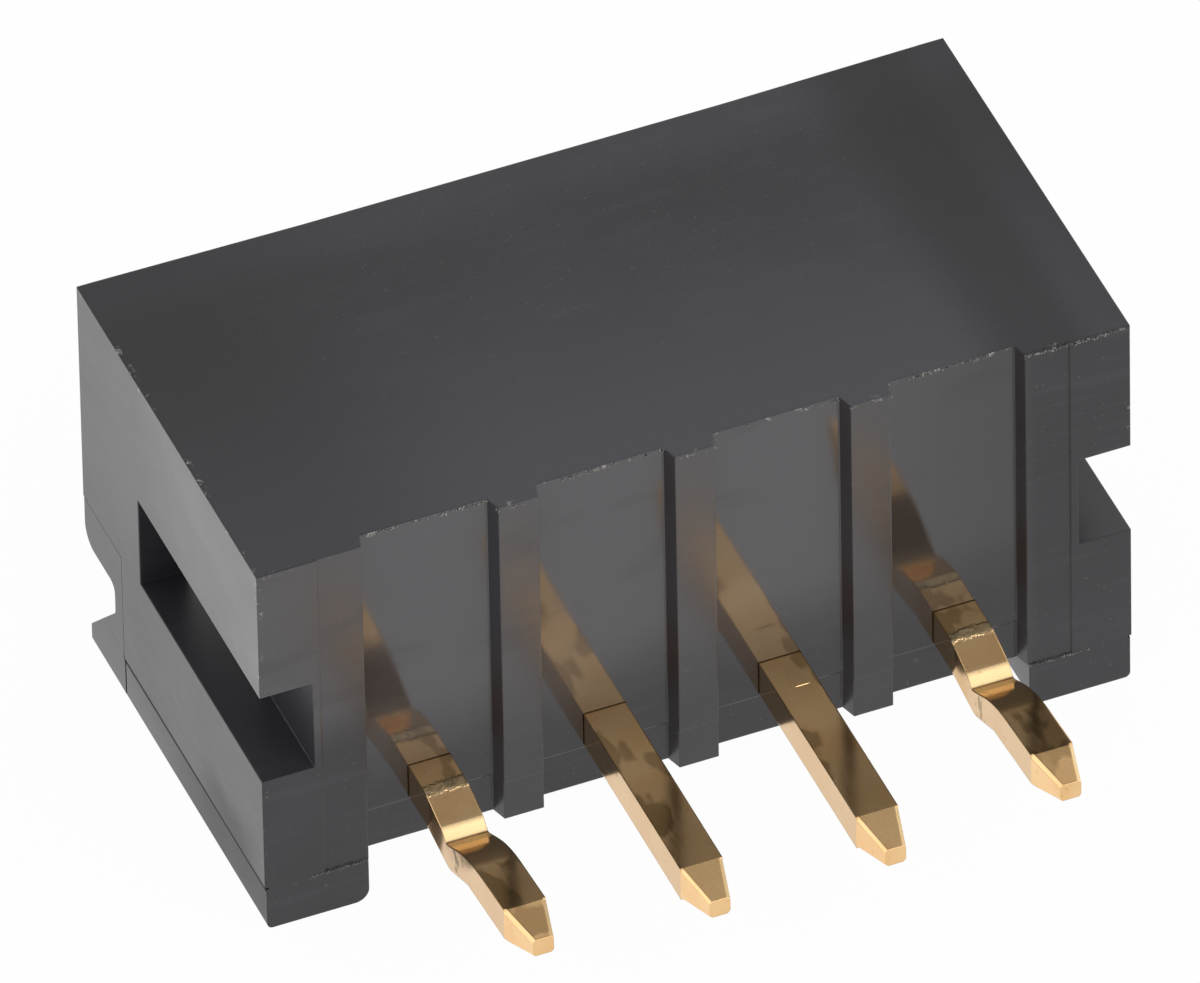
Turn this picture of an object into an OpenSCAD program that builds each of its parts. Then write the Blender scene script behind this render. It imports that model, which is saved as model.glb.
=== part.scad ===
// Wire to board connector housing: a moulded shroud with four square contacts
// lying along Y. The board side faces -Y, the mating mouth faces +Y and the part
// stands on its two feet, with the origin under the middle of its whole box.

/* [Housing] */
// Length of the housing along the row of contacts, in mm
body_len = 12.4; // [12.2:0.1:13.4]
// Depth from the board seat to the mating mouth, in mm
body_depth = 6.25; // [5.75:0.05:7.5]
// Height from under the feet to the top face, in mm
body_h = 6.22; // [5.8:0.02:7]
// Thickness of the top wall, in mm
top_wall_t = 0.75; // [0.5:0.05:0.95]
// Thickness of each end wall, in mm
end_wall_t = 0.7; // [0.5:0.05:0.7]
// Thickness of the base that holds the contacts, in mm
base_t = 1.9; // [1.3:0.1:2.5]

/* [Feet] */
// Height of each foot below the middle of the housing, in mm
foot_h = 0.7; // [0.5:0.05:0.9]
// Width of each foot, in mm
foot_w = 1.47; // [1.2:0.01:1.5]
// Radius along the inner edge under each foot, in mm
foot_inner_r = 0.2; // [0.05:0.05:0.35]
// Radius along the outer edge under each foot, in mm
foot_outer_r = 0.08; // [0.04:0.02:0.3]
// Step in of each end face below the middle of the housing, in mm
foot_step = 0.02; // [0.01:0.01:0.1]

/* [Board side] */
// Depth of the pocket round each contact, in mm
pocket_depth = 0.23; // [0.1:0.01:0.5]
// Width of each pocket at its opening, in mm
pocket_w = 1.94; // [1.84:0.02:2.1]
// Width of each pocket at its floor, in mm
pocket_floor_w = 1.8; // [1.5:0.02:1.8]
// Height of the tool split line across the board side, in mm
split_z = 1.35; // [1:0.05:1.4]
// Step at the tool split lines, in mm
split_step = 0.02; // [0.01:0.005:0.04]
// Width of the outer strip of each end block, in mm
strip_w = 0.86; // [0.78:0.01:0.9]

/* [Lock slots] */
// Length of the slot in each end wall from the board seat, in mm
slot_len = 4.24; // [3:0.02:4.6]
// Height of each lock slot, in mm
slot_h = 1.49; // [1:0.01:1.8]
// Height of the lower side of each lock slot above the feet, in mm
slot_z = 2.61; // [2.2:0.01:3]
// Depth of each lock slot into the end wall, in mm
slot_depth = 0.75; // [0.75:0.05:1]

/* [Mouth notches] */
// Depth of the notch in each end wall from the mouth, in mm
notch_len = 1.03; // [0.6:0.01:1.1]
// Height of the upper side of each notch above the feet, in mm
notch_top_z = 1.76; // [1.6:0.01:1.9]
// Height of the foot of each notch's back above the feet, in mm
notch_back_z = 1.28; // [1.1:0.01:1.4]
// Height of the lip below each notch above the feet, in mm
lip_z = 0.32; // [0.3:0.01:0.6]
// Distance of the lip below each notch back from the mouth, in mm
lip_gap = 0.1; // [0.04:0.01:0.2]
// Radius at the mouth above each notch, in mm
notch_lip_r = 0.3; // [0.1:0.02:0.4]
// Radius in the inner corners of each notch, in mm
notch_corner_r = 0.15; // [0.05:0.01:0.2]
// Radius on the tip of the lip below each notch, in mm
lip_r = 0.06; // [0.02:0.01:0.1]
// Length of the sunk field round each notch, from the mouth, in mm
field_len = 1.31; // [1.2:0.01:1.5]
// Height of the top of the sunk field above the feet, in mm
field_z = 2.5; // [2.2:0.02:2.55]
// Depth of the sunk field, in mm
field_depth = 0.01; // [0.01:0.005:0.04]
// Width of the fine joint grooves in the end faces, in mm
groove_w = 0.03; // [0.02:0.01:0.06]
// Depth of the fine joint grooves in the end faces, in mm
groove_depth = 0.05; // [0.02:0.01:0.08]
// Bow of the mouth, in mm
mouth_bow = 0.06; // [0.02:0.01:0.12]
// Lead-in chamfer inside the mouth, in mm
lead_in = 0.2; // [0.1:0.02:0.3]

/* [Contacts] */
// Distance between neighbouring contacts, in mm
pitch = 2.5; // [2.3:0.05:2.6]
// Width of each contact along the row, in mm
pin_w = 0.6; // [0.4:0.02:0.7]
// Thickness of each contact, in mm
pin_t = 0.54; // [0.4:0.02:0.6]
// Height of the contacts above the underside of the feet, in mm
pin_z = 1.67; // [1.5:0.01:2]
// Length of each tail beyond the board seat, in mm
tail_len = 3.68; // [3:0.02:5]
// Distance from the end of each contact back to the mouth, in mm
mate_gap = 0.9; // [0.4:0.1:1.4]
// Length of the taper at each end of a contact, in mm
taper_len = 0.62; // [0.2:0.02:0.8]
// Width of the flat end of a contact, in mm
end_w = 0.3; // [0.1:0.01:0.36]
// Thickness of the flat end of a contact, in mm
end_t = 0.28; // [0.1:0.01:0.36]
// Width of the facets on the four corners of each taper, in mm
facet_w = 0.06; // [0.02:0.01:0.08]

/* [Kinked tails] */
// Distance from the board seat to where the two outer tails start to bend, in mm
kink_start = 0.38; // [0.3:0.02:0.46]
// Distance from the board seat to the shoulder above the crease, in mm
shoulder_at = 0.92; // [0.84:0.01:0.94]
// Depth of the shoulder below the upper face of the contact, in mm
shoulder_depth = 0.17; // [0.12:0.01:0.19]
// Distance from the board seat to the crease in the upper face, in mm
crease_at = 1.07; // [1.04:0.01:1.1]
// Depth of the crease in the upper face of a bent tail, in mm
crease_depth = 0.31; // [0.28:0.01:0.33]
// Distance from the board seat to the bulge under the bend, in mm
bulge_at = 1.16; // [1.1:0.02:1.24]
// Depth of the bulge under a bent tail, in mm
bulge_depth = 0.14; // [0.1:0.01:0.17]
// Distance from the board seat to the end of the bend, in mm
kink_end = 1.8; // [1.7:0.02:1.9]
// Rise of a bent tail at the end of its bend, in mm
kink_rise = 0.08; // [0.04:0.01:0.1]
// Rise of a bent tail at its tip, in mm
tip_rise = 0.24; // [0.2:0.01:0.3]
// Thickness of a bent tail beyond its bend, in mm
kink_t = 0.5; // [0.44:0.01:0.54]
// Radius in the crease of the bend, in mm
crease_r = 0.06; // [0.03:0.01:0.08]
// Radius on the shoulder of the bend, in mm
shoulder_r = 0.2; // [0.1:0.02:0.3]
// Radius where the bend starts and under the bend, in mm
turn_r = 0.3; // [0.1:0.05:0.35]
// Radius where the bend runs out into the tail, in mm
sweep_r = 2; // [1:0.1:2.4]

/* [Fits] */
// Clearance round each contact in its hole in the base, in mm
pin_clearance = 0.005; // [0.005:0.005:0.05]

/* [Hidden] */
$fn = 48;
pin_count = 4;
cut = 1;
turn_steps = 6;
body_x = body_len / 2;
seat_y = (tail_len - body_depth) / 2;
mouth_y = seat_y + body_depth;
tail_y = seat_y - tail_len;
mate_y = mouth_y - mate_gap;
foot_x = body_x - foot_w;
cavity_x = body_x - end_wall_t;
cavity_h = body_h - top_wall_t - foot_h;
pocket_z = foot_h - cut;
tail_slope = (tip_rise - kink_rise) / (tail_len - kink_end);
plastic = [0.13, 0.13, 0.14];
gold = [0.80, 0.66, 0.36];

// Position of a contact along the row, counted from 1 at the -X end.
function pin_x(i) = (i - (pin_count + 1) / 2) * pitch;

function unit(v) = v / norm(v);

function polar(r, angle) = r * [cos(angle), sin(angle)];

// Points that round corner b between its neighbours a and c to radius r.
function turn_points(a, b, c, r) =
  r <= 0 ? [b] :
  let (
    u = unit(a - b),
    w = unit(c - b),
    half = acos(u * w) / 2,
    middle = b + unit(u + w) * r / sin(half),
    first = b + u * r / tan(half) - middle,
    last = b + w * r / tan(half) - middle,
    start = atan2(first[1], first[0]),
    sweep = atan2(cross(first, last), first * last)
  )
  [for (i = [0 : turn_steps]) middle + polar(r, start + sweep * i / turn_steps)];

// Outline through a list of corners, each given as [place, radius].
function rounded_outline(corners) =
  let (n = len(corners))
  [for (i = [0 : n - 1])
    each turn_points(corners[(i + n - 1) % n][0], corners[i][0], corners[(i + 1) % n][0], corners[i][1])];

// Outline that is drawn in X and Z and runs along Y from y0 to y1.
module along_y(y0, y1) {
  translate([0, y1, 0])
    rotate([90, 0, 0])
      linear_extrude(height = y1 - y0)
        children();
}

// Outline that is drawn in Y and Z and runs along X from x0 to x1.
module along_x(x0, x1) {
  translate([x0, 0, 0])
    rotate([90, 0, 90])
      linear_extrude(height = x1 - x0)
        children();
}

// The same thing at both ends of the housing.
module both_ends() {
  children();
  mirror([1, 0, 0])
    children();
}

// One foot seen from the board side, rounded along its two lower edges.
module foot_outline() {
  out_x = body_x - foot_step;
  translate([foot_x, foot_inner_r])
    square([out_x - foot_x, foot_h - foot_inner_r + foot_step]);
  translate([foot_x + foot_inner_r, 0])
    square([out_x - foot_x - foot_inner_r - foot_outer_r, foot_h]);
  translate([foot_x + foot_inner_r, foot_outer_r])
    square([out_x - foot_x - foot_inner_r, foot_h - foot_outer_r]);
  translate([foot_x + foot_inner_r, foot_inner_r])
    circle(r = foot_inner_r);
  translate([out_x - foot_outer_r, foot_outer_r])
    circle(r = foot_outer_r);
}

// Housing seen from the board side: a plain block on two feet.
module front_outline() {
  translate([-body_x, foot_h])
    square([body_len, body_h - foot_h]);
  both_ends()
    foot_outline();
}

// Drafted pocket round one contact, seen from above.
module pocket_outline() {
  mouth_w = pocket_w + (pocket_w - pocket_floor_w) * cut / pocket_depth;
  polygon([
    [-pocket_floor_w / 2, pocket_depth],
    [-pocket_w / 2, 0],
    [-mouth_w / 2, -cut],
    [mouth_w / 2, -cut],
    [pocket_w / 2, 0],
    [pocket_floor_w / 2, pocket_depth]
  ]);
}

// The pockets that leave a rib between each two contacts and a block at each end.
module pockets() {
  for (i = [1 : pin_count])
    translate([pin_x(i), seat_y, pocket_z])
      linear_extrude(height = body_h + 2 * cut)
        pocket_outline();
}

// Below the split line the pockets and ribs stand back by one step.
module lower_band() {
  band_x = pin_x(pin_count) + pocket_w / 2;
  for (i = [1 : pin_count])
    translate([pin_x(i), seat_y + split_step, pocket_z])
      linear_extrude(height = split_z - pocket_z)
        pocket_outline();
  translate([-band_x, seat_y - cut, pocket_z])
    cube([2 * band_x, cut + split_step, split_z - pocket_z]);
}

// Inner strip of an end block, one step behind the outer strip.
module inner_strip() {
  translate([body_x - foot_w - cut, seat_y - cut, foot_h])
    cube([foot_w + cut - strip_w, cut + split_step, body_h]);
}

// Space for the plug, open at the mouth and between the feet.
module cavity() {
  roof_z = body_h - top_wall_t;
  translate([-cavity_x, seat_y + base_t, foot_h])
    cube([2 * cavity_x, body_depth - base_t + cut, cavity_h]);
  along_x(-cavity_x, cavity_x)
    polygon([
      [mouth_y - mouth_bow - lead_in, roof_z],
      [mouth_y - mouth_bow, roof_z + lead_in],
      [mouth_y + cut, roof_z + lead_in],
      [mouth_y + cut, roof_z - cut],
      [mouth_y - mouth_bow - lead_in, roof_z - cut]
    ]);
}

// The rim is hollow by the bow of the mouth in its middle.
module mouth_curve() {
  bow_x = body_x - strip_w / 4;
  bow_r = (bow_x * bow_x + mouth_bow * mouth_bow) / (2 * mouth_bow);
  translate([0, mouth_y - mouth_bow + bow_r, -cut])
    cylinder(r = bow_r, h = body_h + 2 * cut, $fn = 720);
}

// Sunk field in an end face, round the notch.
module sunk_field() {
  translate([body_x - field_depth, mouth_y - field_len, foot_h])
    cube([field_depth + cut, field_len + cut, field_z - foot_h]);
}

// Fine grooves in an end face, above the foot and round the sunk field.
module joint_grooves() {
  groove_x = body_x - groove_depth;
  field_y = mouth_y - field_len;
  translate([groove_x, seat_y - cut, foot_h])
    cube([groove_depth + cut, field_y - seat_y + cut, groove_w]);
  translate([groove_x, field_y - groove_w, -cut])
    cube([groove_depth + cut, groove_w, field_z + cut]);
  translate([groove_x, field_y - groove_w, field_z])
    cube([groove_depth + cut, field_len + groove_w + cut, groove_w]);
}

// Slot for the plug's catch, open at the board side.
module lock_slot() {
  translate([body_x - slot_depth, seat_y - cut, slot_z])
    cube([slot_depth + cut, slot_len + cut, slot_h]);
}

// Notch in the rim of an end wall with the sloping lip below it, seen from the end.
module notch_outline() {
  polygon(rounded_outline([
    [[mouth_y + cut, notch_top_z], 0],
    [[mouth_y - notch_len, notch_top_z], notch_corner_r],
    [[mouth_y - notch_len, notch_back_z], notch_corner_r],
    [[mouth_y - lip_gap, lip_z], lip_r],
    [[mouth_y - lip_gap, -cut], 0],
    [[mouth_y + cut, -cut], 0]
  ]));
  difference() {
    translate([mouth_y - notch_lip_r, notch_top_z - cut / 2])
      square([notch_lip_r + cut, notch_lip_r + cut / 2]);
    translate([mouth_y - notch_lip_r, notch_top_z + notch_lip_r])
      circle(r = notch_lip_r);
  }
}

module mouth_notch() {
  along_x(foot_x - cut, body_x + cut)
    notch_outline();
}

// Square hole in the base for one contact.
module pin_hole(i) {
  hole_w = pin_w + 2 * pin_clearance;
  hole_t = pin_t + 2 * pin_clearance;
  translate([pin_x(i) - hole_w / 2, seat_y - cut, pin_z - hole_t / 2])
    cube([hole_w, base_t + 2 * cut, hole_t]);
}

module housing() {
  color(plastic)
    difference() {
      along_y(seat_y, mouth_y)
        front_outline();
      pockets();
      lower_band();
      both_ends()
        inner_strip();
      cavity();
      mouth_curve();
      both_ends()
        sunk_field();
      both_ends()
        joint_grooves();
      both_ends()
        lock_slot();
      both_ends()
        mouth_notch();
      for (i = [1 : pin_count])
        pin_hole(i);
    }
}

// Contact seen from above, tapered at both ends.
module pin_plan() {
  polygon([
    [-end_w / 2, tail_y],
    [end_w / 2, tail_y],
    [pin_w / 2, tail_y + taper_len],
    [pin_w / 2, mate_y - taper_len],
    [end_w / 2, mate_y],
    [-end_w / 2, mate_y],
    [-pin_w / 2, mate_y - taper_len],
    [-pin_w / 2, tail_y + taper_len]
  ]);
}

// Straight contact seen from its side.
module straight_side() {
  polygon([
    [tail_y, pin_z - end_t / 2],
    [tail_y + taper_len, pin_z - pin_t / 2],
    [mate_y - taper_len, pin_z - pin_t / 2],
    [mate_y, pin_z - end_t / 2],
    [mate_y, pin_z + end_t / 2],
    [mate_y - taper_len, pin_z + pin_t / 2],
    [tail_y + taper_len, pin_z + pin_t / 2],
    [tail_y, pin_z + end_t / 2]
  ]);
}

// Contact with a creased and lifted tail, seen from its side.
module kinked_side() {
  top = pin_z + pin_t / 2;
  under = pin_z - pin_t / 2;
  tip = pin_z + tip_rise;
  taper_y = tail_y + taper_len;
  taper_z = top + tip_rise - tail_slope * taper_len;
  polygon(rounded_outline([
    [[tail_y, tip - end_t / 2], 0],
    [[taper_y, taper_z - kink_t], 0],
    [[seat_y - kink_end, top + kink_rise - kink_t], turn_r],
    [[seat_y - bulge_at, under - bulge_depth], turn_r],
    [[seat_y - kink_start, under], turn_r],
    [[mate_y - taper_len, under], 0],
    [[mate_y, pin_z - end_t / 2], 0],
    [[mate_y, pin_z + end_t / 2], 0],
    [[mate_y - taper_len, top], 0],
    [[seat_y - kink_start, top], turn_r],
    [[seat_y - shoulder_at, top - shoulder_depth], shoulder_r],
    [[seat_y - crease_at, top - crease_depth], crease_r],
    [[seat_y - kink_end, top + kink_rise], sweep_r],
    [[taper_y, taper_z], 0],
    [[tail_y, tip + end_t / 2], 0]
  ]));
}

// Cutters for the corners of a taper that starts at the origin and runs along Y.
module taper_facets() {
  thin = (end_w + end_t) / 2 / sqrt(2);
  thick = (pin_w + pin_t) / 2 / sqrt(2);
  lean = atan((thick - thin) / taper_len);
  for (turn = [45 : 90 : 315])
    rotate([0, turn, 0])
      translate([thin - facet_w / 2, 0, 0])
        rotate([0, 0, -lean])
          translate([0, -cut, -cut / 2])
            cube([cut, cut + taper_len / cos(lean), cut]);
}

// Contact number i, cut to its plan from the side outline it is given.
// Its tail ends at height tip_z and runs there with the given slope.
module contact(i, tip_z, slope) {
  color(gold)
    translate([pin_x(i), 0, 0])
      difference() {
        intersection() {
          along_x(-pin_w, pin_w)
            children();
          linear_extrude(height = body_h)
            pin_plan();
        }
        translate([0, tail_y, tip_z])
          rotate([-atan(slope), 0, 0])
            taper_facets();
        translate([0, mate_y, pin_z])
          rotate([0, 0, 180])
            taper_facets();
      }
}

module contact_pin_1() {
  contact(1, pin_z + tip_rise, tail_slope)
    kinked_side();
}

module contact_pin_2() {
  contact(2, pin_z, 0)
    straight_side();
}

module contact_pin_3() {
  contact(3, pin_z, 0)
    straight_side();
}

module contact_pin_4() {
  contact(4, pin_z + tip_rise, tail_slope)
    kinked_side();
}

housing();
contact_pin_1();
contact_pin_2();
contact_pin_3();
contact_pin_4();
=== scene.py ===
"""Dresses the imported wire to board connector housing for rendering."""

import math

import bmesh
import bpy
from bpy.props import FloatProperty, FloatVectorProperty, PointerProperty
from mathutils import Matrix, Vector


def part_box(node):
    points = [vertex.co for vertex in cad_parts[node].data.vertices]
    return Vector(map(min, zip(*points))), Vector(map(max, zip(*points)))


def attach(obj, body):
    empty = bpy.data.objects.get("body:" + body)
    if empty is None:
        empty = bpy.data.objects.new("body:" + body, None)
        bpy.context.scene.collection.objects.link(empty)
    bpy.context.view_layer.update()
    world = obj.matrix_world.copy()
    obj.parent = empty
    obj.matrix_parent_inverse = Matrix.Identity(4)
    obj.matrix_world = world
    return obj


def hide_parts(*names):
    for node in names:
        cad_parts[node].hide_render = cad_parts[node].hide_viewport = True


bl_info = {
    "name": "Board connector dresser",
    "version": (1, 0, 0),
    "blender": (4, 5, 0),
    "location": "View3D > Sidebar > Connector",
    "description": "Finishes a moulded board connector and its plated contacts",
    "category": "Object",
}

MM = 0.001
CONTACTS = ("contact_pin_1", "contact_pin_2", "contact_pin_3", "contact_pin_4")
BENT = (CONTACTS[0], CONTACTS[-1])
BODY = "root"

# Clean-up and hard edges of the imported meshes
WELD_MM = 0.0004
MERGE_DEG = 0.6
HARD_EDGE_DEG = 25.0
FACET_EDGE_DEG = 8.0

# Sorting of the housing's faces: least share of a normal that counts as square on, and how far
# inside the housing's box each kind of face may lie
SQUARE_ON = 0.99
SKIN_MM = 0.025
GROOVE_MM = 0.07
POCKET_FLOOR_MM = 0.1
BOARD_SIDE_MM = 0.6

# Flash: seed and range of a crumb's turn about each axis in radians, lengths as shares of the
# largest crumb, what the feet's crumbs add to the settings, and where their strips lie in X
FLASH_SEED = 7
CRUMB_TURN = 6.28
TOP_SPACING = 0.4
TOP_SINK = 0.75
TOP_GAP_MM = 0.002
FOOT_SPACING = 0.25
FOOT_CRUMB = 0.6
FOOT_BARENESS = -0.08
FOOT_RISE_MM = 0.01
FOOT_STRIP_MM = (4.74, 5.58)

# Noise scale of the fine grain of the plastic, along X, Y and Z
FINE_GRAIN = (38.0, 38.0, 38.0)

# Where the looks of the plastic change, in millimetres: one value is a middle, two are a ramp and
# four are a window with soft ends
# Painted light on the top: paler at the front middle and by the mouth
TOP_LIGHT_MIDDLE = 0.8
TOP_LIGHT_FADE = (6.4, 2.2)
TOP_LIGHT_FRONT = (-1.4, 3.6)
TOP_LIGHT_MOUTH = (3.6, 4.7)
TOP_DARK_BAND = (3.8, 4.8, 5.3, 5.9)
END_SKIN_HEIGHT = (2.4, 5.2)
END_SKIN_DEPTH = (-1.5, 5.2)
# Painted shade on the end faces, by the feet and low in the middle
END_FOOT_SHADE_HEIGHT = (0.75, 0.65)
END_FOOT_SHADE_DEPTH = (3.0, 0.5)
END_LOW_SHADE_HEIGHT = (1.6, 1.0)
END_LOW_SHADE_FROM = (-1.3, -0.4)
END_LOW_SHADE_TO = (1.4, 0.2)
DULL_RIGHT = (4.5, 4.9)
DULL_LEFT = (-4.4, -4.8)
DULL_LEFT_HEIGHT = (3.7, 2.6)
# Painted shade, with a duller finish, low down and by the feet of the board side
DULL_SHADE_LOW_HEIGHT = (3.4, 1.7)
DULL_SHADE_FOOT_HEIGHT = (0.9, 0.6)
DARK_FAR = (1.5, 4.5)

# Places on a tail, in millimetres outward from the board seat, as ramps and windows
TIP_DARKENING = (0.6, 2.4)
SLANT = (2.9, 3.1)
DISH = (1.0, 0.35)
CREASE = (0.8, 0.9, 1.2, 1.3)
SCRAPE = (1.12, 1.25, 1.6, 1.8)

# Studio in metres and watts: each lamp's name, place, side of its square and power, the point
# that the lamps aim at, and the floor's reach to each side
LAMPS = (
    ("front_key", (0.07, -0.172, 0.167), 0.16, 0.14),
    ("left_panel", (-0.16, 0.02, 0.07), 0.12, 0.016),
)
LAMP_AIM = (0.0, 0.0, 0.003)
FLOOR_REACH = 2.0
SENSOR_MM = 36.0
WHITE = (1.0, 1.0, 1.0, 1.0)

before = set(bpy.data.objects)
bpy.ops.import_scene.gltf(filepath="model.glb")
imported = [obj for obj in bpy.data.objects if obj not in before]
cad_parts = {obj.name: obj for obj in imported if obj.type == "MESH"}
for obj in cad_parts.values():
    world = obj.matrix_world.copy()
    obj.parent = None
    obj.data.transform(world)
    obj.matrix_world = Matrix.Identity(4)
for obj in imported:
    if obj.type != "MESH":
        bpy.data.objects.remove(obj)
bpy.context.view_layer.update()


# ---------------------------------------------------------------- shader maths


class Wire:
    """An output socket that Python's operators turn into Math nodes."""

    def __init__(self, net, socket):
        self.net = net
        self.socket = socket

    def out(self, name):
        return Wire(self.net, self.socket.node.outputs[name])

    def _math(self, operation, a, b):
        return self.net.add("ShaderNodeMath", {"operation": operation}, {0: a, 1: b})

    def __add__(self, other):
        return self._math("ADD", self, other)

    def __radd__(self, other):
        return self._math("ADD", other, self)

    def __sub__(self, other):
        return self._math("SUBTRACT", self, other)

    def __rsub__(self, other):
        return self._math("SUBTRACT", other, self)

    def __mul__(self, other):
        return self._math("MULTIPLY", self, other)

    def __rmul__(self, other):
        return self._math("MULTIPLY", other, self)

    def __rtruediv__(self, other):
        return self._math("DIVIDE", other, self)

    def larger(self, other):
        return self._math("MAXIMUM", self, other)

    def size(self):
        return self.net.add("ShaderNodeMath", {"operation": "ABSOLUTE"}, {0: self})

    def within(self, start, full, fading, end):
        """Soft share: 0 up to start, 1 from full to fading and 0 again from end on."""
        return self.fade(start, full) * self.fade(end, fading)

    def fade(self, low, high, at_low=0.0, at_high=1.0):
        """Smooth change from at_low to at_high while this value goes from low to high."""
        span = {"From Min": low, "From Max": high, "To Min": at_low, "To Max": at_high}
        return self.net.add(
            "ShaderNodeMapRange", {"interpolation_type": "SMOOTHSTEP"}, {"Value": self, **span}
        )


class Net:
    """A node tree that is filled by name."""

    def __init__(self, tree):
        self.tree = tree
        tree.nodes.clear()

    def add(self, kind, settings=None, inputs=None):
        node = self.tree.nodes.new(kind)
        for key, value in (settings or {}).items():
            setattr(node, key, value)
        for key, value in (inputs or {}).items():
            if isinstance(value, Wire):
                self.tree.links.new(value.socket, node.inputs[key])
            else:
                node.inputs[key].default_value = value
        return Wire(self, node.outputs[0]) if node.outputs else node

    def mix(self, share, a, b):
        """Colour a where share is 0 and colour b where it is 1."""
        node = self.tree.nodes.new("ShaderNodeMix")
        node.data_type = "RGBA"
        for index, value in ((0, share), (6, a), (7, b)):
            if isinstance(value, Wire):
                self.tree.links.new(value.socket, node.inputs[index])
            elif index == 0:
                node.inputs[0].default_value = value
            else:
                node.inputs[index].default_value = (*value, 1.0)
        return Wire(self, node.outputs[2])


def new_material(name):
    material = bpy.data.materials.new(name)
    material.use_nodes = True
    return material, Net(material.node_tree)


def stretched(net, scale, offset=(0.0, 0.0, 0.0)):
    """Object coordinates in millimetres, stretched by scale along each axis."""
    place = net.add("ShaderNodeTexCoord").out("Object")
    return net.add(
        "ShaderNodeMapping",
        {"vector_type": "POINT"},
        {"Vector": place, "Scale": [s / MM for s in scale], "Location": offset},
    )


def parts(net, vector):
    """The parts of a vector along X, Y and Z."""
    split = net.add("ShaderNodeSeparateXYZ", {}, {"Vector": vector})
    return {axis: split.out(axis) for axis in "XYZ"}


def axes(net):
    """Object coordinates in millimetres, one wire for each axis."""
    return parts(net, stretched(net, (1.0, 1.0, 1.0)))


def noise(net, scale, detail=2.0, roughness=0.5, offset=(0.0, 0.0, 0.0)):
    return net.add(
        "ShaderNodeTexNoise",
        {"noise_dimensions": "3D"},
        {
            "Vector": stretched(net, scale, offset),
            "Scale": 1.0,
            "Detail": detail,
            "Roughness": roughness,
        },
    )


def bump(net, height, distance_mm, strength=1.0, under=None):
    inputs = {"Height": height, "Distance": distance_mm * MM, "Strength": strength}
    if under is not None:
        inputs["Normal"] = under
    return net.add("ShaderNodeBump", {}, inputs)


def broken_edge(net, radius_mm):
    """Normal that turns round the sharp edges as if they were slightly rounded."""
    return net.add("ShaderNodeBevel", {"samples": 8}, {"Radius": radius_mm * MM})


def skin_of(net, inputs):
    return net.add("ShaderNodeBsdfPrincipled", {}, inputs)


def blend(net, share, first, second):
    """Surface first where share is 0 and surface second where it is 1."""
    return net.add("ShaderNodeMixShader", {}, {0: share, 1: first, 2: second})


def show(net, surface):
    net.add("ShaderNodeOutputMaterial", {}, {"Surface": surface})


def plastic_tint(net, settings):
    """Colour of the moulded plastic: soft clouds, flow streaks and a few pale specks."""
    cloud = noise(net, (0.5, 0.5, 0.5), 3.0)
    flow = noise(net, (0.6, 2.2, 6.0), 4.0, 0.6, (3.1, 0.4, 1.7))
    speck = noise(net, (16.0, 16.0, 16.0), 1.0, 0.5, (5.0, 2.0, 8.0)).fade(0.70, 0.78)
    tint = net.mix(cloud.fade(0.35, 0.65), settings.shade, settings.tone)
    tint = net.mix(flow.fade(0.5, 0.75) * 0.35, tint, settings.streak)
    return net.mix(speck * 0.35, tint, settings.speck), cloud, flow


def chipped(net, nearness, seed):
    """Share of pale, torn plastic: broken dots that only stand close to an edge."""
    dots = noise(net, (5.5, 5.5, 5.5), 3.0, 0.75, (seed, 2.0 * seed, 1.0))
    runs = noise(net, (0.8, 0.8, 0.8), 1.0, 0.5, (1.0, seed, seed)).fade(0.4, 0.6)
    return nearness * dots.fade(0.58, 0.66) * runs


def plastic_top(settings):
    """Top with fine brushed lines along X, palest at the middle of the board side with painted
    light, and darker towards its ends with painted shade.
    """
    material, net = new_material("plastic_brushed_top")
    tint = plastic_tint(net, settings)[0]
    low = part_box("housing")[0]
    grain = noise(net, FINE_GRAIN, 2.0)
    line = noise(net, (0.35, 42.0, 4.0), 3.0, 0.7)
    broad = noise(net, (0.12, 7.0, 2.0), 2.0, 0.5, (2.0, 9.0, 4.0))
    place = axes(net)
    middle = (place["X"] - TOP_LIGHT_MIDDLE).size().fade(*TOP_LIGHT_FADE)
    front = place["Y"].fade(*TOP_LIGHT_FRONT, 1.0, 0.05)
    front = front.larger(place["Y"].fade(*TOP_LIGHT_MOUTH, 0.0, 0.4))
    band = place["X"].within(*TOP_DARK_BAND)
    # Painted shade: the top darkens towards both ends
    tint = net.mix((1.0 - middle) * 0.85, tint, settings.deep)
    tint = net.mix(line.fade(0.45, 0.8) * 0.2, tint, settings.streak)
    # Painted light: the top is paler at the front middle and by the mouth
    tint = net.mix(front * middle.fade(0.0, 1.0, 0.45, 0.95), tint, settings.pale)
    tint = net.mix(band * 0.7, tint, settings.deep)
    edge = (place["Y"] - low.y / MM).fade(0.1, 0.02)
    edge = edge.larger((place["X"] - low.x / MM).fade(0.1, 0.02))
    tint = net.mix(chipped(net, edge, 3.0), tint, settings.chip)
    rough = settings.top_roughness + (line - 0.5) * 0.12 + (broad - 0.5) * 0.08
    normal = bump(net, line + grain * 0.35, 0.0022, 0.8, broken_edge(net, settings.edge_break))
    inputs = {"Base Color": tint, "Roughness": rough, "Normal": normal, "IOR": settings.top_ior}
    show(net, skin_of(net, inputs))
    return material


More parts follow.
